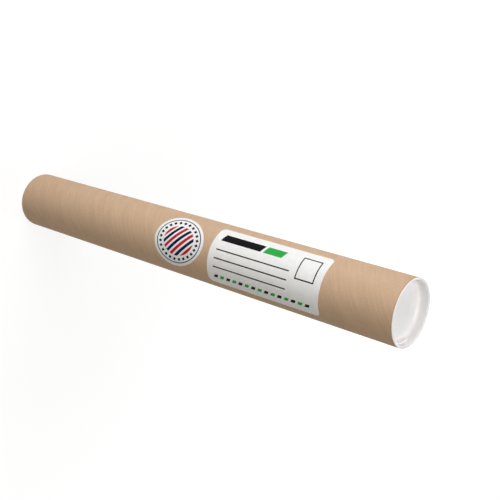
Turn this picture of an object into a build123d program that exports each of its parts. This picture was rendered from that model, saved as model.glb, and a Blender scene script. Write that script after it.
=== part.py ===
from build123d import *
import math
import os

# A kraft mailing tube, standing on its lower cap. Z runs up the tube's axis from the floor, and the
# side that carries the label faces -Y. Lengths are in millimetres, angles in degrees.

# Kraft tube: paperboard wound in a spiral, glued into one wall and sawn square at both ends
tube_bore = 76.2
tube_wall = 2.03
tube_length = 649.5

# Plug cap: one moulding in soft plastic, the same at both ends
flange_thickness = 1.25
plug_depth = 12.75
plug_wall = 1.1
plug_floor = 1.3
plug_clearance = 0.15
plug_taper = 0.45
nose_lead_in = 2.4
nose_break = 1.3
recess_corner_round = 5.0
recess_corner_flats = 3

# Grip bead: a ring round the plug that runs just inside the bore
bead_drop = 6.8
bead_width = 2.0
bead_clearance = 0.05

# Pry lug: a flat-faced lump in the corner of the recess, to lever the cap out by
lug_width = 17.0
lug_thickness = 2.3
lug_height = 6.6
lug_edge_break = 0.5
lug_angle = 20

# Address label: paper with rounded corners, stuck round the front of the tube
paper_thickness = 0.12
glue_line = 0.05
label_length = 170.0
label_wrap = 77.5
label_corner_round = 6.5
label_drop = 94.7
front_angle = -90

# Round sticker: the same paper, below the label and a little to one side. Seen from the lean above
# level, its outline is an even oval. Its breadth is measured straight across.
sticker_length = 83.5
sticker_breadth = 62.5
sticker_gap = 12.2
sticker_turn = 4
sticker_lean = 25

# Sizes that follow from those above
bore_radius = tube_bore / 2
tube_radius = bore_radius + tube_wall
tube_foot = flange_thickness
tube_head = tube_foot + tube_length

bead_radius = bore_radius - bead_clearance
plug_root_radius = bore_radius - plug_clearance
plug_nose_radius = plug_root_radius - plug_taper
recess_mouth_radius = plug_root_radius - plug_wall
recess_foot_radius = plug_nose_radius - plug_wall
recess_floor_height = plug_floor - plug_depth

paper_inner_radius = tube_radius + glue_line
paper_outer_radius = paper_inner_radius + paper_thickness
label_head = tube_head - label_drop
label_foot = label_head - label_length
label_angle = math.degrees(label_wrap / tube_radius)
label_start_angle = front_angle - label_angle / 2
sticker_head = label_foot - sticker_gap
sticker_middle = sticker_head - sticker_length / 2
sticker_lean_share = math.cos(math.radians(sticker_lean))

os.makedirs("parts", exist_ok=True)

# Kraft tube
with BuildPart() as kraft_tube:
    with BuildSketch(Plane.XY.offset(tube_foot)):
        Circle(tube_radius)
        Circle(bore_radius, mode=Mode.SUBTRACT)
    extrude(amount=tube_length)

kraft_tube.part.label = "kraft_tube"
export_step(kraft_tube.part, "parts/kraft_tube.step")


def build_cap(cap_name, seat):
    """Mould a plug cap whose flange rests on the plane seat, with the plug behind that plane."""
    cap_axis = Axis(seat.origin, seat.z_dir)
    half_section = Plane(seat.origin, x_dir=seat.x_dir, z_dir=-seat.y_dir)

    # The round between the recess's floor and wall, as a few flats
    corner_points = []
    for step in range(recess_corner_flats + 1):
        turn = math.radians(90 * step / recess_corner_flats)
        inwards = recess_corner_round * (1 - math.sin(turn))
        upwards = recess_corner_round * (1 - math.cos(turn))
        corner_points.append((recess_foot_radius - inwards, recess_floor_height + upwards))

    with BuildPart() as cap:
        # The cup and its flange, turned from half of their section
        with BuildSketch(half_section):
            with BuildLine():
                Polyline(
                    (0, recess_floor_height),
                    *corner_points,
                    (recess_mouth_radius, flange_thickness),
                    (tube_radius, flange_thickness),
                    (tube_radius, 0),
                    (plug_root_radius, 0),
                    (plug_nose_radius, nose_lead_in - plug_depth),
                    (plug_nose_radius - nose_break, -plug_depth),
                    (0, -plug_depth),
                    close=True,
                )
            make_face()

            # The bead rises from inside the wall to a crest just short of the bore
            bead_foot_radius = plug_nose_radius - plug_wall / 2
            Polygon(
                (bead_foot_radius, -bead_drop - bead_width / 2),
                (bead_radius, -bead_drop),
                (bead_foot_radius, -bead_drop + bead_width / 2),
                align=None,
            )
        revolve(axis=cap_axis)

        # The lug fills the corner between the recess's wall and floor as far as its flat face
        recess_floor = Plane(seat.origin + seat.z_dir * recess_floor_height, seat.x_dir, seat.z_dir)
        lug_foot = recess_floor.rotated((0, 0, lug_angle))
        with BuildSketch(lug_foot):
            Circle(recess_mouth_radius)
            with Locations((recess_foot_radius - lug_thickness, 0)):
                Rectangle(
                    recess_mouth_radius,
                    lug_width,
                    align=(Align.MIN, Align.CENTER),
                    mode=Mode.INTERSECT,
                )
        extrude(amount=lug_height)
        along_lug = Axis(lug_foot.origin, lug_foot.y_dir)
        chamfer(cap.edges().filter_by(along_lug).sort_by(cap_axis)[-1], lug_edge_break)

    cap.part.label = cap_name
    export_step(cap.part, f"parts/{cap_name}.step")
    return cap


top_cap = build_cap("top_cap", Plane.XY.offset(tube_head))
bottom_cap = build_cap("bottom_cap", Plane((0, 0, tube_foot), x_dir=(1, 0, 0), z_dir=(0, 0, -1)))

# Address label, centred on the front of the tube: a thick wedge gets the rounded corners, and what
# stays of it is the thin sleeve that lies on the tube
with BuildPart() as address_label:
    with BuildSketch(Plane.XZ.rotated((0, 0, label_start_angle))):
        with Locations((tube_radius, label_foot)):
            Rectangle(label_corner_round, label_length, align=(Align.CENTER, Align.MIN))
    revolve(axis=Axis.Z, revolution_arc=label_angle)
    radial_edges = address_label.edges().group_by(SortBy.LENGTH)[0]
    fillet(radial_edges, label_corner_round)
    with BuildSketch(Plane.XY.offset(label_foot)):
        Circle(paper_outer_radius)
        Circle(paper_inner_radius, mode=Mode.SUBTRACT)
    extrude(amount=label_length, mode=Mode.INTERSECT)

address_label.part.label = "address_label"
export_step(address_label.part, "parts/address_label.step")

# Round sticker: its outline is pushed through the front of the tube from the lean, and what stays of it
# is the thin sleeve that lies on the tube
sticker_facing = Plane.XZ.rotated((0, 0, -sticker_turn))
sticker_view = Plane(
    sticker_facing.z_dir * paper_outer_radius + Vector(0, 0, sticker_middle),
    x_dir=sticker_facing.x_dir,
    z_dir=sticker_facing.z_dir.rotate(Axis((0, 0, 0), sticker_facing.x_dir), -sticker_lean),
)
with BuildPart() as round_sticker:
    with BuildSketch(sticker_view):
        Ellipse(sticker_breadth / 2, sticker_length / 2 * sticker_lean_share)
    extrude(amount=paper_outer_radius, both=True)
    with BuildSketch(Plane.XY.offset(tube_foot)):
        Circle(paper_outer_radius)
        Circle(paper_inner_radius, mode=Mode.SUBTRACT)
    extrude(amount=tube_length, mode=Mode.INTERSECT)

round_sticker.part.label = "round_sticker"
export_step(round_sticker.part, "parts/round_sticker.step")
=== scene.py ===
import math

import bpy
from mathutils import Matrix, Vector
from mathutils.geometry import delaunay_2d_cdt


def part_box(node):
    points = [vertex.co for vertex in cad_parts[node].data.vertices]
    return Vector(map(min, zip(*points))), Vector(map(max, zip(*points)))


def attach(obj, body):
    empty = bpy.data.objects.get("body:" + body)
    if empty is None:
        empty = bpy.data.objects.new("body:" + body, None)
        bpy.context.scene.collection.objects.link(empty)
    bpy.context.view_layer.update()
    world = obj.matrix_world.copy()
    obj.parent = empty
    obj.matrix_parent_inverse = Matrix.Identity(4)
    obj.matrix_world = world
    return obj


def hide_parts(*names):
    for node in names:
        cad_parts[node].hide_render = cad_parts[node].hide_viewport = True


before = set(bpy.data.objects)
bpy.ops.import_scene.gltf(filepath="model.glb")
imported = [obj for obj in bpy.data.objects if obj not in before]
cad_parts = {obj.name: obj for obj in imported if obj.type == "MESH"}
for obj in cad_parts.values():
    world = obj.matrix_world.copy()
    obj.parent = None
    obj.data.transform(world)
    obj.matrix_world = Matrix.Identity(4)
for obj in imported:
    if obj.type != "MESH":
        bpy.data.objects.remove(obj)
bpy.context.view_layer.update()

# Kraft tube. Strips of brown paper are glued and wound on a mandrel in a spiral, and the tube is then
# sawn square to its length. The edges of the outermost strip meet in a fine seam that climbs the wall,
# and the sawn ends show the plies.
tube_low, tube_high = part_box("kraft_tube")
tube_radius = tube_high.x
tube_wall = 0.00203
bore_radius = tube_radius - tube_wall
ply_count = 5
ply_thickness = tube_wall / ply_count
ply_line_half_width = ply_thickness / 6
ply_line_depth = 0.00006
sawn_edge_round = 0.0004
# Width of the darkened band at each sawn end: partly the saw's stain, partly painted shade beside a cap's
# flange
sawn_stain_and_painted_shade_width = 0.0013
seam_lead = 0.163
seam_start = math.radians(-143)
seam_half_width = 0.0004
seam_depth = 0.00011
column_count = 118
row_height = 0.003

# Colours of the paper, and the grains of its patterns per metre, along the strip and across it
dark_fibre = (0.60, 0.402, 0.253, 1)
pale_fibre = (0.70, 0.496, 0.340, 1)
cloud_shade = (0.86, 0.84, 0.82, 1)
streak_shade = (0.92, 0.91, 0.90, 1)
dark_fleck = (0.30, 0.19, 0.11, 1)
pale_fleck = (0.80, 0.64, 0.48, 1)
# The seam is darkened by its groove's depth: the joint's line, with painted shade in the groove
seam_joint_and_painted_shade = (0.45, 0.38, 0.32, 1)
# The sawn ends' darkening: partly the saw's stain, partly painted shade beside a cap's flange
sawn_stain_and_painted_shade = (0.66, 0.59, 0.53, 1)
fibre_grains = (420, 1300, 1)
streak_grains = (17, 290, 1)
cloud_grains = (38, 75, 1)
fleck_grains = (520, 1300, 1)
crush_grains = (14, 22, 1)


def bend_corners(corners, steps=4):
    """Points along a section whose corners (radius, height, bend) are softened by their bend."""
    points = []
    for place, (radius, height, bend) in enumerate(corners):
        corner = Vector((radius, height))
        if not bend:
            points.append(corner)
            continue
        back = (Vector(corners[place - 1][:2]) - corner).normalized()
        onward = (Vector(corners[(place + 1) % len(corners)][:2]) - corner).normalized()
        reach = bend / math.tan(back.angle(onward) / 2)
        for step in range(steps + 1):
            share = step / steps
            points.append(corner + back * reach * (1 - share) ** 2 + onward * reach * share ** 2)
    return points


def add_piece(name, points, faces, sharp_angle=38):
    """A new mesh object, shaded smooth but for edges sharper than sharp_angle."""
    mesh = bpy.data.meshes.new(name)
    mesh.from_pydata(points, [], faces)
    mesh.shade_smooth()
    mesh.set_sharp_from_angle(angle=math.radians(sharp_angle))
    piece = bpy.data.objects.new(name, mesh)
    bpy.context.scene.collection.objects.link(piece)
    return piece


def sawn_end(height, inwards, radii):
    """Corners across a sawn end, with a shallow line at each radius where two plies meet."""
    side = ply_line_half_width if radii[0] < radii[-1] else -ply_line_half_width
    corners = []
    for radius in radii:
        corners.append((radius - side, height, 0))
        corners.append((radius, height + inwards * ply_line_depth, 0))
        corners.append((radius + side, height, 0))
    return corners


def tube_section():
    """The wall's section, once round: up the outside, in over the plies, down the bore and out."""
    foot, head = tube_low.z, tube_high.z
    ply_lines = [bore_radius + ply_thickness * count for count in range(1, ply_count)]
    rows = round((head - foot) / row_height)
    climb = [foot + (head - foot) * row / rows for row in range(1, rows)]
    climb = [foot + sawn_stain_and_painted_shade_width] + climb + [head - sawn_stain_and_painted_shade_width]

    corners = [(tube_radius, foot, sawn_edge_round)]
    corners += [(tube_radius, height, 0) for height in climb]
    corners += [(tube_radius, head, sawn_edge_round)]
    corners += sawn_end(head, -1, ply_lines[::-1])
    corners += [(bore_radius, head, sawn_edge_round)]
    corners += [(bore_radius, height, 0) for height in reversed(climb)]
    corners += [(bore_radius, foot, sawn_edge_round)]
    corners += sawn_end(foot, 1, ply_lines)
    return bend_corners(corners, steps=3)


def seam_columns():
    """Column angles across the strip from seam to seam, with the depth of the seam's groove at each."""
    half_angle = seam_half_width / tube_radius
    across = [(0, seam_depth), (half_angle / 2, seam_depth / 2), (half_angle, 0)]
    pitch = (math.tau - 2 * half_angle) / column_count
    across += [(half_angle + pitch * count, 0) for count in range(1, column_count)]
    across += [(math.tau - half_angle, 0), (math.tau - half_angle / 2, seam_depth / 2)]
    return across


def wind_tube():
    """The wall as a grid whose columns follow the winding, with a map that lies along the strip.

    Two masks on its points show the seam's groove and the sawn ends' band of stain and painted shade.
    """
    section = tube_section()
    columns = seam_columns()
    turn_per_height = math.tau / seam_lead
    slope = math.atan2(seam_lead, math.tau * tube_radius)
    outside = tube_radius - sawn_edge_round
    points, seam, sawn = [], [], []
    for angle, groove in columns:
        for radius, height in section:
            turn = seam_start + angle + turn_per_height * height
            depth = groove if radius > outside else 0
            reach = radius - depth
            points.append((reach * math.cos(turn), reach * math.sin(turn), height))
            seam.append(depth / seam_depth)
            from_end = min(height - tube_low.z, tube_high.z - height)
            sawn.append(max(1 - from_end / sawn_stain_and_painted_shade_width, 0))

    faces, strip = [], []
    span = len(section)
    angles = [angle for angle, groove in columns] + [math.tau]
    for column in range(len(columns)):
        here, there = column * span, (column + 1) % len(columns) * span
        start, end = angles[column], angles[column + 1]
        for row in range(span):
            above = (row + 1) % span
            faces.append((here + row, there + row, there + above, here + above))
            for angle, corner_row in ((start, row), (end, row), (end, above), (start, above)):
                radius, height = section[corner_row]
                along = tube_radius * angle * math.cos(slope) + height / math.sin(slope)
                across = tube_radius * angle * math.sin(slope)
                strip.append((along, across))

    tube = add_piece("wound_tube", points, faces)
    strip_map = tube.data.uv_layers.new(name="strip")
    for corner, place in zip(strip_map.data, strip):
        corner.uv = place
    for mask, values in (("seam", seam), ("sawn", sawn)):
        tube.data.attributes.new(mask, "FLOAT", "POINT").data.foreach_set("value", values)
    return tube


def add_node(tree, kind, links=None, **settings):
    """A shader node with its settings, and its inputs set to values or linked from other outputs."""
    node = tree.nodes.new(kind)
    for setting, value in settings.items():
        setattr(node, setting, value)
    for socket, value in (links or {}).items():
        if isinstance(value, bpy.types.NodeSocket):
            tree.links.new(value, node.inputs[socket])
        else:
            node.inputs[socket].default_value = value
    return node


def new_material(name, **constants):
    """A material with its shader, whose even values are set straight on the shader's sockets."""
    material = bpy.data.materials.new(name)
    material.use_nodes = True
    shader = material.node_tree.nodes["Principled BSDF"]
    for socket, value in constants.items():
        shader.inputs[socket.replace("_", " ")].default_value = value
    return material, material.node_tree, shader


def stretched_noise(tree, coordinates, grains, detail):
    """Noise with so many grains per metre in each direction. Nearly all of it is from 0.3 to 0.7."""
    spread = add_node(tree, "ShaderNodeMapping", {"Vector": coordinates, "Scale": grains})
    look = {"Vector": spread.outputs[0], "Scale": 1.0, "Detail": detail, "Roughness": 0.55}
    return add_node(tree, "ShaderNodeTexNoise", look).outputs[0]


def between(tree, value, new_low, new_high, low=0.3, high=0.7):
    """Value carried from one range, by itself that of noise, to another, and held at the ends."""
    ranges = {"From Min": low, "From Max": high, "To Min": new_low, "To Max": new_high}
    return add_node(tree, "ShaderNodeMapRange", {"Value": value, **ranges}).outputs[0]


def tint(tree, mode, factor, below, above):
    """Two colours mixed by factor. The node's sockets 6 and 7 and its output 2 are for colours."""
    colours = {0: factor, 6: below, 7: above}
    return add_node(tree, "ShaderNodeMix", colours, data_type="RGBA", blend_type=mode).outputs[2]


def add_bump(tree, height, strength, distance, below=None):
    """A normal that follows height, on top of the bump below."""
    relief = {"Height": height, "Strength": strength, "Distance": distance}
    if below:
        relief["Normal"] = below
    return add_node(tree, "ShaderNodeBump", relief).outputs[0]


def kraft_paper():
    """Brown unbleached paper: streaks and fibres along the strip, cloudy formation, a few flecks."""
    material, tree, shader = new_material("kraft_paper", IOR=1.45, Specular_IOR_Level=0.4)
    strip = add_node(tree, "ShaderNodeUVMap", uv_map="strip").outputs[0]
    fibres = stretched_noise(tree, strip, fibre_grains, detail=4)
    streaks = stretched_noise(tree, strip, streak_grains, detail=2)
    clouds = stretched_noise(tree, strip, cloud_grains, detail=3)
    flecks = stretched_noise(tree, strip, fleck_grains, detail=1)
    crush = stretched_noise(tree, strip, crush_grains, detail=2)
    seam = add_node(tree, "ShaderNodeAttribute", attribute_name="seam").outputs["Fac"]
    sawn = add_node(tree, "ShaderNodeAttribute", attribute_name="sawn").outputs["Fac"]

    colour = tint(tree, "MIX", between(tree, fibres, 0, 1), dark_fibre, pale_fibre)
    layers = (
        (clouds, 0.35, 0.70, 0.35, "MULTIPLY", cloud_shade),
        (streaks, 0.35, 0.65, 0.80, "MULTIPLY", streak_shade),
        (flecks, 0.70, 0.78, 0.40, "MIX", dark_fleck),
        (flecks, 0.30, 0.22, 0.35, "MIX", pale_fleck),
        # Seam: the joint's line, with painted shade in its groove
        (seam, 0, 1, 0.75, "MULTIPLY", seam_joint_and_painted_shade),
        # Sawn ends: partly the saw's stain, partly painted shade beside a cap's flange
        (sawn, 0, 1, 0.80, "MULTIPLY", sawn_stain_and_painted_shade),
    )
    for pattern, start, full, strength, mode, shade in layers:
        share = between(tree, pattern, 0, strength, low=start, high=full)
        colour = tint(tree, mode, share, colour, shade)
    tree.links.new(colour, shader.inputs["Base Color"])
    tree.links.new(between(tree, clouds, 0.70, 0.80), shader.inputs["Roughness"])
    ripple = add_bump(tree, crush, strength=0.35, distance=0.0008)
    ribs = add_bump(tree, streaks, strength=0.5, distance=0.0005, below=ripple)
    nap = add_bump(tree, fibres, strength=0.5, distance=0.00006, below=ribs)
    tree.links.new(nap, shader.inputs["Normal"])
    return material


wound_tube = wind_tube()
wound_tube.data.materials.append(kraft_paper())
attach(wound_tube, "tube")
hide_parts("kraft_tube")

# Plug caps. Each is one moulding in soft white plastic, the same at both ends: a cup that is pressed
# into the bore, with a flange that stops on the sawn end, a bead that grips, and a lug in the corner of
# the recess to lever it out by.
flange_thickness = 0.00125
plug_depth = 0.01275
plug_wall = 0.0011
plug_floor = 0.0013
plug_clearance = 0.00015
plug_taper = 0.00045
nose_lead_in = 0.0024
nose_break = 0.0013
recess_corner_round = 0.005
bead_drop = 0.0068
bead_width = 0.002
bead_clearance = 0.00005
rim_edge_round = 0.0004
mouth_round = 0.0012
lug_width = 0.017
lug_thickness = 0.0023
lug_height = 0.0066
lug_edge_round = 0.0006
lug_end_blend = 0.0008
lug_angle = math.radians(20)

nose_round = plug_floor / 3
lead_in_round = nose_lead_in / 3
bead_round = bead_width / 5
flange_root_round = flange_thickness / 6
plug_root_radius = bore_radius - plug_clearance
plug_nose_radius = plug_root_radius - plug_taper
nose_ring_radius = plug_nose_radius / 2
recess_mouth_radius = plug_root_radius - plug_wall
recess_foot_radius = plug_nose_radius - plug_wall
recess_floor = plug_floor - plug_depth
corner_middle = recess_foot_radius - recess_corner_round
corner_top = recess_floor + recess_corner_round
mouth_foot = flange_thickness - 2 * mouth_round
lug_top = recess_floor + lug_height
lug_face = recess_foot_radius - lug_thickness
lug_half_angle = math.atan2(lug_width / 2, lug_face)

cap_column_count = 150
lug_column_count = 15
lug_blend_steps = 5
wall_steps = 3
shelf_steps = 3
face_steps = 4
foot_steps = 4
floor_steps = 4

dull_plastic = (0.895, 0.866, 0.858, 1)
clear_plastic = (0.940, 0.912, 0.904, 1)
haze_grains = (90, 90, 90)
mould_grains = (1600, 1600, 1600)


def recess_wall(height):
    """The wall's place at a height: it leans out from the corner's top to the mouth."""
    share = (height - corner_top) / (flange_thickness - corner_top)
    return Vector((recess_foot_radius + (recess_mouth_radius - recess_foot_radius) * share, height))


def plug_radius(height):
    """The plug's outside at a height below the flange."""
    return plug_root_radius + plug_taper * height / (plug_depth - nose_lead_in)


def cap_outside():
    """The section from the nose up the plug, over the flange and just into the recess."""
    bead_foot, bead_head = -bead_drop - bead_width / 2, -bead_drop + bead_width / 2
    corners = [
        (nose_ring_radius, -plug_depth, 0),
        (plug_nose_radius - nose_break, -plug_depth, nose_round),
        (plug_nose_radius, nose_lead_in - plug_depth, lead_in_round),
        (plug_radius(bead_foot), bead_foot, bead_round),
        (bore_radius - bead_clearance, -bead_drop, bead_round),
        (plug_radius(bead_head), bead_head, bead_round),
        (plug_root_radius, 0, flange_root_round),
        (tube_radius, 0, rim_edge_round),
        (tube_radius, flange_thickness, rim_edge_round),
        (recess_mouth_radius, flange_thickness, mouth_round),
        (*recess_wall(mouth_foot), 0),
    ]
    return bend_corners(corners)


def corner_point(turn):
    """A place on the round between the recess's wall and floor, a turn down from the wall."""
    fall = recess_corner_round * math.sin(turn)
    return Vector((corner_middle + recess_corner_round * math.cos(turn), corner_top - fall))


def lug_section(off_lug):
    """The section over the lug: its shelf, rounded edge and flat face, and what is left of the corner."""
    face = lug_face / math.cos(min(off_lug, lug_half_angle))
    face_foot_turn = math.acos((face - corner_middle) / recess_corner_round)
    face_foot = corner_point(face_foot_turn)
    shelf_start = recess_wall(lug_top)
    corners = [(shelf_start.x, lug_top, 0), (face, lug_top, lug_edge_round), (face, face_foot.y, 0)]
    edge = bend_corners(corners)[1:-1]
    shelf = [shelf_start.lerp(edge[0], step / shelf_steps) for step in range(1, shelf_steps)]
    flat = [edge[-1].lerp(face_foot, step / face_steps) for step in range(1, face_steps)]
    left = math.radians(90) - face_foot_turn
    foot = [corner_point(face_foot_turn + left * step / foot_steps) for step in range(foot_steps + 1)]
    return shelf + edge + flat + foot


def recess_inside(off_lug):
    """The section from the recess's wall to its floor, off_lug radians from the middle of the lug."""
    lugged = lug_section(off_lug)
    last = len(lugged) - 1
    plain = [corner_point(math.radians(90) * step / last) for step in range(last + 1)]

    # Past the lug's end the two run into each other in a short blend, eased at both ends
    past_end = (off_lug - lug_half_angle) * recess_foot_radius / lug_end_blend
    share = min(max(1 - past_end, 0), 1)
    eased = share * share * (3 - 2 * share)
    corner = [low.lerp(high, eased) for low, high in zip(plain, lugged)]

    mouth, shelf = recess_wall(mouth_foot), recess_wall(lug_top)
    wall = [mouth.lerp(shelf, step / wall_steps) for step in range(1, wall_steps + 1)]
    rings = [corner_middle * step / floor_steps for step in range(floor_steps - 1, 0, -1)]
    return wall + corner + [Vector((radius, recess_floor)) for radius in rings]


def cap_column_angles():
    """Angles round a cap from the lug's middle: close together over the lug and closer at its ends."""
    end_angle = lug_end_blend / recess_foot_radius
    half = [lug_half_angle * step / lug_column_count for step in range(lug_column_count + 1)]
    for step in range(1, lug_blend_steps + 1):
        half.append(lug_half_angle + end_angle * step / lug_blend_steps)
    rest = math.tau - 2 * half[-1]
    others = [half[-1] + rest * step / cap_column_count for step in range(1, cap_column_count)]
    return half + others + [math.tau - angle for angle in half[:0:-1]]


def mould_cap(name, seat, outwards):
    """A cap whose flange rests at the height seat, and faces up if outwards is 1 or down if it is -1."""
    angles = cap_column_angles()
    outside = cap_outside()
    points, faces = [], []
    for angle in angles:
        column = outside + recess_inside(min(angle, math.tau - angle))
        turn = lug_angle + outwards * angle
        for radius, height in column:
            points.append((radius * math.cos(turn), radius * math.sin(turn), seat + outwards * height))
    span = len(column)
    nose, floor = len(points), len(points) + 1
    points.append((0, 0, seat - outwards * plug_depth))
    points.append((0, 0, seat + outwards * recess_floor))
    for place in range(len(angles)):
        here, there = place * span, (place + 1) % len(angles) * span
        faces.append((nose, there, here))
        for row in range(span - 1):
            faces.append((here + row, there + row, there + row + 1, here + row + 1))
        faces.append((here + span - 1, there + span - 1, floor))
    return add_piece(name, points, faces)


def soft_white_plastic():
    """Matt white polyethylene, a little translucent, with the faint grain and haze of its mould."""
    material, tree, shader = new_material(
        "soft_white_plastic",
        IOR=1.5,
        Subsurface_Weight=0.45,
        Subsurface_Scale=0.003,
        Subsurface_Radius=(1.0, 0.95, 0.9),
    )
    place = add_node(tree, "ShaderNodeTexCoord").outputs["Object"]
    haze = stretched_noise(tree, place, haze_grains, detail=3)
    mould = stretched_noise(tree, place, mould_grains, detail=2)
    colour = tint(tree, "MIX", between(tree, haze, 0, 1), dull_plastic, clear_plastic)
    tree.links.new(colour, shader.inputs["Base Color"])
    tree.links.new(between(tree, haze, 0.30, 0.42), shader.inputs["Roughness"])
    sink = add_bump(tree, haze, strength=0.15, distance=0.0006)
    skin = add_bump(tree, mould, strength=0.25, distance=0.00003, below=sink)
    tree.links.new(skin, shader.inputs["Normal"])
    return material


cap_plastic = soft_white_plastic()
upper_plug = mould_cap("upper_plug_cap", tube_high.z, 1)
lower_plug = mould_cap("lower_plug_cap", tube_low.z, -1)
for plug, body, node in ((upper_plug, "upper_cap", "top_cap"), (lower_plug, "lower_cap", "bottom_cap")):
    plug.data.materials.append(cap_plastic)
    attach(plug, body)
    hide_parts(node)

# Address label. White gummed paper with rounded corners, printed in black and green, and stuck round
# the front of the tube. The print is plain: a heading bar, ruled lines for an address, a box for a
# stamp and a slanted border.
label_low, label_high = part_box("address_label")
label_length = label_high.z - label_low.z
label_middle = (label_low.z + label_high.z) / 2
label_corner = 0.0065
paper_radius = -label_low.y
paper_thickness = 0.00012
label_half_turn = math.asin(label_high.x / paper_radius)
label_half_width = label_half_turn * paper_radius
front = math.radians(-90)
curve_step = math.radians(3)
along_step = 0.006
cut_digits = 7
cut_tolerance = 1e-7
hull_triangles = 0

# Inks, and places of the print along the label and across it, from its middle
bare_paper, black, green = 0, 1, 2
paper_white = (0.95, 0.95, 0.945)
black_ink = (0.004, 0.004, 0.005)
green_ink = (0.035, 0.42, 0.070)
paper_gloss, ink_gloss = 0.25, 0.05
dull_share = 0.93
sheet_grains = (160, 160, 160)
tooth_grains = (2200, 2200, 900)
print_left, print_right = -0.075, 0.075
heading_low, heading_high = 0.019, 0.029
heading_slant = 0.004
black_heading_right = -0.012
green_heading_left, green_heading_right = -0.008, 0.020
rule_line = 0.0016
rule_right = 0.038
rule_heights = (0.006, -0.005, -0.016)
stamp_left, stamp_low = 0.048, 0.000
border_low, border_high = -0.030, -0.0255
border_bar, border_pitch, border_slant = 0.006, 0.010, 0.0025


def rectangle(left, low, right, high, slant=0.0):
    """Corners of a printed field. Slant pushes its upper edge along."""
    return [(left, low), (right, low), (right + slant, high), (left + slant, high)]


def rounded_rectangle(left, low, right, high, bend, steps=8):
    """Corners of an outline with round corners."""
    points = []
    middles = (
        (right - bend, low + bend, -90),
        (right - bend, high - bend, 0),
        (left + bend, high - bend, 90),
        (left + bend, low + bend, 180),
    )
    for along, across, start in middles:
        for step in range(steps + 1):
            turn = math.radians(start + 90 * step / steps)
            points.append((along + bend * math.cos(turn), across + bend * math.sin(turn)))
    return points


def frame_of(left, low, right, high, line):
    """Four thin fields that draw a box."""
    return [
        rectangle(left, low, right, low + line),
        rectangle(left, high - line, right, high),
        rectangle(left, low + line, left + line, high - line),
        rectangle(right - line, low + line, right, high - line),
    ]


def cut_paper(outline, fields):
    """A flat printed paper as places, triangles between them, and the number of each triangle's ink.

    The triangles keep to the edges of the outline and of each field, and to lines along the paper that
    are close enough to follow the tube's curve.
    """
    flat, rims, lines = [], [], []
    for corners in [outline] + [corners for corners, ink in fields]:
        rims.append(list(range(len(flat), len(flat) + len(corners))))
        flat += [Vector(corner) for corner in corners]
    start = min(along for along, across in outline)
    length = max(along for along, across in outline) - start
    side = min(across for along, across in outline)
    width = max(across for along, across in outline) - side
    line_count = math.ceil(width / (curve_step * paper_radius))
    stop_count = math.ceil(length / along_step)
    for line in range(1, line_count):
        for stop in range(stop_count + 1):
            flat.append(Vector((start + length * stop / stop_count, side + width * line / line_count)))
            if stop:
                lines.append((len(flat) - 2, len(flat) - 1))
    flat = [Vector((round(along, cut_digits), round(across, cut_digits))) for along, across in flat]
    cut = delaunay_2d_cdt(flat, lines, rims, hull_triangles, cut_tolerance, True)
    places, _, triangles, _, _, owners = cut

    # A triangle belongs to the outline, rim 0, and takes the ink of the last field that it lies in
    inks = [bare_paper] + [ink for corners, ink in fields]
    inside = [(tuple(triangle), max(owner)) for triangle, owner in zip(triangles, owners) if 0 in owner]
    return places, [triangle for triangle, field in inside], [inks[field] for triangle, field in inside]


def stick_paper(name, outline, fields, middle_angle, middle_height):
    """Paper cut to outline and wrapped on the tube, with a bare back and edge.

    Outline and fields lie flat, as places along the tube and across the front. Each field is its corners
    and the number of its ink.
    """
    places, faces, face_inks = cut_paper(outline, fields)
    points = []
    for radius in (paper_radius, paper_radius - paper_thickness):
        for along, across in places:
            angle = middle_angle - across / paper_radius
            points.append((radius * math.cos(angle), radius * math.sin(angle), middle_height + along))
    edges = {edge for face in faces for edge in zip(face, face[1:] + face[:1])}
    rim = [(start, end) for start, end in sorted(edges) if (end, start) not in edges]
    back = len(places)
    faces += [tuple(corner + back for corner in reversed(face)) for face in faces]
    faces += [(end, start, start + back, end + back) for start, end in rim]
    face_inks += [bare_paper] * (len(faces) - len(face_inks))

    # Places that no face uses, outside the outline, are left out
    used = sorted({corner for face in faces for corner in face})
    renumbered = {corner: place for place, corner in enumerate(used)}
    used_points = [points[corner] for corner in used]
    used_faces = [tuple(renumbered[corner] for corner in face) for face in faces]
    paper = add_piece(name, used_points, used_faces)
    paper.data.polygons.foreach_set("material_index", face_inks)
    return paper


def printed_paper(name, colour, gloss):
    """Smooth label paper, bare or under an even ink, with the cloudiness and tooth of the sheet."""
    material, tree, shader = new_material(name, IOR=1.5, Specular_IOR_Level=gloss)
    place = add_node(tree, "ShaderNodeTexCoord").outputs["Object"]
    clouds = stretched_noise(tree, place, sheet_grains, detail=4)
    tooth = stretched_noise(tree, place, tooth_grains, detail=2)
    dull = tuple(dull_share * channel for channel in colour)
    shade = tint(tree, "MIX", between(tree, clouds, 0, 1), dull + (1,), colour + (1,))
    tree.links.new(shade, shader.inputs["Base Color"])
    tree.links.new(between(tree, clouds, 0.44, 0.56), shader.inputs["Roughness"])
    relief = add_bump(tree, tooth, strength=0.2, distance=0.00002)
    tree.links.new(relief, shader.inputs["Normal"])
    return material


label_outline = rounded_rectangle(
    -label_length / 2, -label_half_width, label_length / 2, label_half_width, label_corner
)
black_heading = rectangle(print_left, heading_low, black_heading_right, heading_high, heading_slant)
green_heading = rectangle(
    green_heading_left, heading_low, green_heading_right, heading_high, heading_slant
)
label_fields = [(black_heading, black), (green_heading, green)]
for rule in rule_heights:
    label_fields.append((rectangle(print_left, rule, rule_right, rule + rule_line), black))
for side in frame_of(stamp_left, stamp_low, print_right, heading_high, rule_line):
    label_fields.append((side, black))
for count in range(round((print_right - print_left) / border_pitch)):
    start = print_left + border_pitch * count
    bar = rectangle(start, border_low, start + border_bar, border_high, border_slant)
    label_fields.append((bar, green if count % 2 else black))

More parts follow.
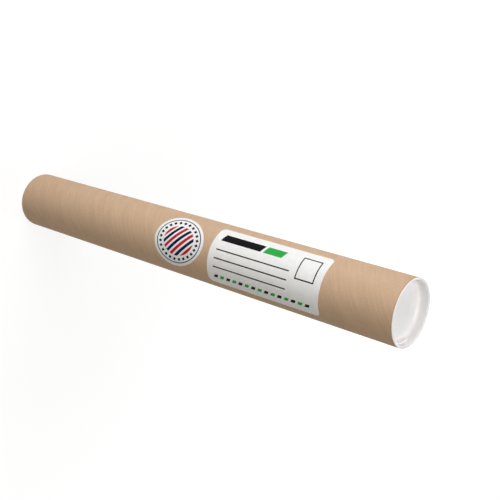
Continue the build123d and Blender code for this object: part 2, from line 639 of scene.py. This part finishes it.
address_label = stick_paper("printed_label", label_outline, label_fields, front, label_middle)
address_label.data.materials.append(printed_paper("label_white", paper_white, paper_gloss))
address_label.data.materials.append(printed_paper("label_black", black_ink, ink_gloss))
address_label.data.materials.append(printed_paper("label_green", green_ink, ink_gloss))
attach(address_label, "tube")
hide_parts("address_label")

# Round sticker. The same gummed paper, cut to an oval and stuck below the label, a little to one side.
# It is printed in navy and red, with a thin ring, a ring of small diamonds and a disc of slanted bars.
sticker_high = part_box("round_sticker")[1]
sticker_half_length = 0.04175
sticker_half_breadth = 0.03125
sticker_middle = sticker_high.z - sticker_half_length
sticker_turn = math.radians(4)
sticker_lean = math.radians(25)
outline_steps = 96

# Inks, and sizes of the print as shares of the oval
navy, red = 1, 2
navy_ink = (0.006, 0.010, 0.060)
red_ink = (0.58, 0.020, 0.032)
ring_outside_share, ring_inside_share = 0.90, 0.865
diamond_count = 24
diamond_ring_share, diamond_share = 0.75, 0.068
disc_share = 0.61
bar_count = 7
bar_width_share = 0.6
bar_pitch = 2 * disc_share / (bar_count - 1 + bar_width_share)
bar_tilt = math.radians(55)
share_digits = 6


def on_sticker(right, up):
    """A place on the flat sticker, given as shares of the oval that it shows when seen from its lean."""
    side = sticker_half_breadth * up
    fall = paper_radius - math.sqrt(paper_radius ** 2 - side ** 2)
    along = sticker_half_length * right - fall * math.tan(sticker_lean)
    return along, paper_radius * math.asin(side / paper_radius)


def sticker_disc(share):
    """Corners of a disc in the middle of the sticker."""
    turns = [math.tau * step / outline_steps for step in range(outline_steps)]
    return [on_sticker(share * math.cos(turn), share * math.sin(turn)) for turn in turns]


def sticker_diamond(turn):
    """Corners of a diamond in the ring, a turn round the sticker's middle."""
    right, up = diamond_ring_share * math.cos(turn), diamond_ring_share * math.sin(turn)
    tips = ((diamond_share, 0), (0, diamond_share), (-diamond_share, 0), (0, -diamond_share))
    return [on_sticker(right + step, up + rise) for step, rise in tips]


def disc_bar(start, end, steps=10):
    """A slanted bar that ends on the disc's edge, with its sides start and end from the middle."""
    rim = []
    for step in range(steps + 1):
        offset = start + (end - start) * step / steps
        reach = math.sqrt(max(disc_share ** 2 - offset ** 2, 0))
        rim.append((offset, round(reach, share_digits)))
    rim += [(offset, -reach) for offset, reach in reversed(rim) if reach]
    cos, sin = math.cos(bar_tilt), math.sin(bar_tilt)
    corners = [(offset * sin + reach * cos, reach * sin - offset * cos) for offset, reach in rim]
    return [on_sticker(right, up) for right, up in reversed(corners)]


sticker_fields = [
    (sticker_disc(ring_outside_share), navy),
    (sticker_disc(ring_inside_share), bare_paper),
]
for count in range(diamond_count):
    sticker_fields.append((sticker_diamond(math.tau * count / diamond_count), navy))
for count in range(bar_count):
    start = bar_pitch * count - disc_share
    end = min(start + bar_pitch * bar_width_share, disc_share)
    sticker_fields.append((disc_bar(start, end), navy if count % 2 else red))

round_sticker = stick_paper(
    "printed_sticker", sticker_disc(1), sticker_fields, front - sticker_turn, sticker_middle
)
round_sticker.data.materials.append(printed_paper("sticker_white", paper_white, paper_gloss))
round_sticker.data.materials.append(printed_paper("sticker_navy", navy_ink, ink_gloss))
round_sticker.data.materials.append(printed_paper("sticker_red", red_ink, ink_gloss))
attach(round_sticker, "tube")
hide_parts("round_sticker")

# Studio. The tube stands on its end on a pale floor under large soft lamps, and the camera is turned on
# its side, so that the tube lies across the picture.
half_floor = 6.0
shadow_near, shadow_far = 0.3, 1.4
glow_near, glow_far = 0.80, 0.96
floor_grey = (0.35, 0.35, 0.35, 1)
shadow_grey = (0.25, 0.25, 0.25, 1)
white = (1, 1, 1, 1)
room_level = 0.20
white_level = 1.0

floor_corners = rectangle(-half_floor, -half_floor, half_floor, half_floor)
floor_mesh = bpy.data.meshes.new("studio_floor")
floor_mesh.from_pydata([(x, y, 0) for x, y in floor_corners], [], [(0, 1, 2, 3)])
studio_floor = bpy.data.objects.new("studio_floor", floor_mesh)
bpy.context.scene.collection.objects.link(studio_floor)


def seen_directly(tree):
    """1 for what the camera sees, straight or in gloss or glass, and 0 for light that bounces."""
    path = add_node(tree, "ShaderNodeLightPath").outputs
    straight = {0: path["Is Camera Ray"], 1: path["Is Glossy Ray"]}
    mirrored = add_node(tree, "ShaderNodeMath", straight, operation="MAXIMUM").outputs[0]
    through = {0: mirrored, 1: path["Is Transmission Ray"]}
    return add_node(tree, "ShaderNodeMath", through, operation="MAXIMUM").outputs[0]


def pale_floor():
    """Paper that is nearly white by itself to the camera, and less so near the object's shadow."""
    material = bpy.data.materials.new("pale_floor")
    material.use_nodes = True
    tree = material.node_tree
    tree.nodes.clear()
    place = add_node(tree, "ShaderNodeTexCoord").outputs["Object"]
    distance = add_node(tree, "ShaderNodeVectorMath", {0: place}, operation="LENGTH").outputs["Value"]
    strength = between(tree, distance, glow_near, glow_far, low=shadow_near, high=shadow_far)
    paper = add_node(tree, "ShaderNodeBsdfDiffuse", {"Color": floor_grey})
    shadow = add_node(tree, "ShaderNodeBsdfDiffuse", {"Color": shadow_grey})
    glow = add_node(tree, "ShaderNodeEmission", {"Color": white, "Strength": strength})
    bright = add_node(tree, "ShaderNodeAddShader", {0: shadow.outputs[0], 1: glow.outputs[0]})
    mixed = {0: seen_directly(tree), 1: paper.outputs[0], 2: bright.outputs[0]}
    both = add_node(tree, "ShaderNodeMixShader", mixed)
    add_node(tree, "ShaderNodeOutputMaterial", {"Surface": both.outputs[0]})
    return material


studio_floor.data.materials.append(pale_floor())

room = bpy.data.worlds.new("studio_room")
room.use_nodes = True
room_tree = room.node_tree
room_tree.nodes.clear()
room_light = add_node(room_tree, "ShaderNodeBackground", {"Color": white, "Strength": room_level})
room_white = add_node(room_tree, "ShaderNodeBackground", {"Color": white, "Strength": white_level})
room_mix = {0: seen_directly(room_tree), 1: room_light.outputs[0], 2: room_white.outputs[0]}
room_both = add_node(room_tree, "ShaderNodeMixShader", room_mix)
add_node(room_tree, "ShaderNodeOutputWorld", {"Surface": room_both.outputs[0]})
bpy.context.scene.world = room


def hang_lamp(name, aim_height, towards, distance, size, level, colour=(1, 1, 1)):
    """A square soft lamp. Level 1 lights a facing surface so that its colour shows about as written."""
    lamp = bpy.data.lights.new(name, "AREA")
    lamp.size = size
    lamp.color = colour
    lamp.energy = level * (math.pi * distance) ** 2
    holder = bpy.data.objects.new(name, lamp)
    bpy.context.scene.collection.objects.link(holder)
    direction = Vector(towards).normalized()
    holder.location = Vector((0, 0, aim_height)) + direction * distance
    holder.rotation_euler = direction.to_track_quat("Z", "Y").to_euler()


warm = (1.0, 0.94, 0.76)
hang_lamp("side_lamp", 0.45, towards=(-0.88, -0.48, 0.05), distance=1.4, size=1.0, level=0.77)
hang_lamp(
    "front_lamp", 0.35, towards=(0.57, -0.80, 0.20), distance=1.6, size=1.2, level=0.15, colour=warm
)
hang_lamp("top_lamp", 0.65, towards=(-0.05, -0.27, 0.95), distance=1.5, size=0.8, level=0.66)
hang_lamp("rear_lamp", 0.40, towards=(0.05, 1.00, 0.00), distance=1.8, size=0.8, level=0.50)

lens = bpy.data.cameras.new("photo_camera")
lens.lens = 60.38
photo_camera = bpy.data.objects.new("photo_camera", lens)
bpy.context.scene.collection.objects.link(photo_camera)
camera_place = Vector((-0.03485, -0.83099, 1.05610))
camera_aim = Vector((-0.0162, 0.0, 0.4163))
picture_up = Vector((-0.90924, -0.41628, 0.0))
backwards = (camera_place - camera_aim).normalized()
sideways = picture_up.cross(backwards).normalized()
upright = backwards.cross(sideways)
turned = Matrix((sideways, upright, backwards)).transposed().to_4x4()
photo_camera.matrix_world = Matrix.Translation(camera_place) @ turned
bpy.context.scene.camera = photo_camera
bpy.context.scene.view_settings.view_transform = "Standard"
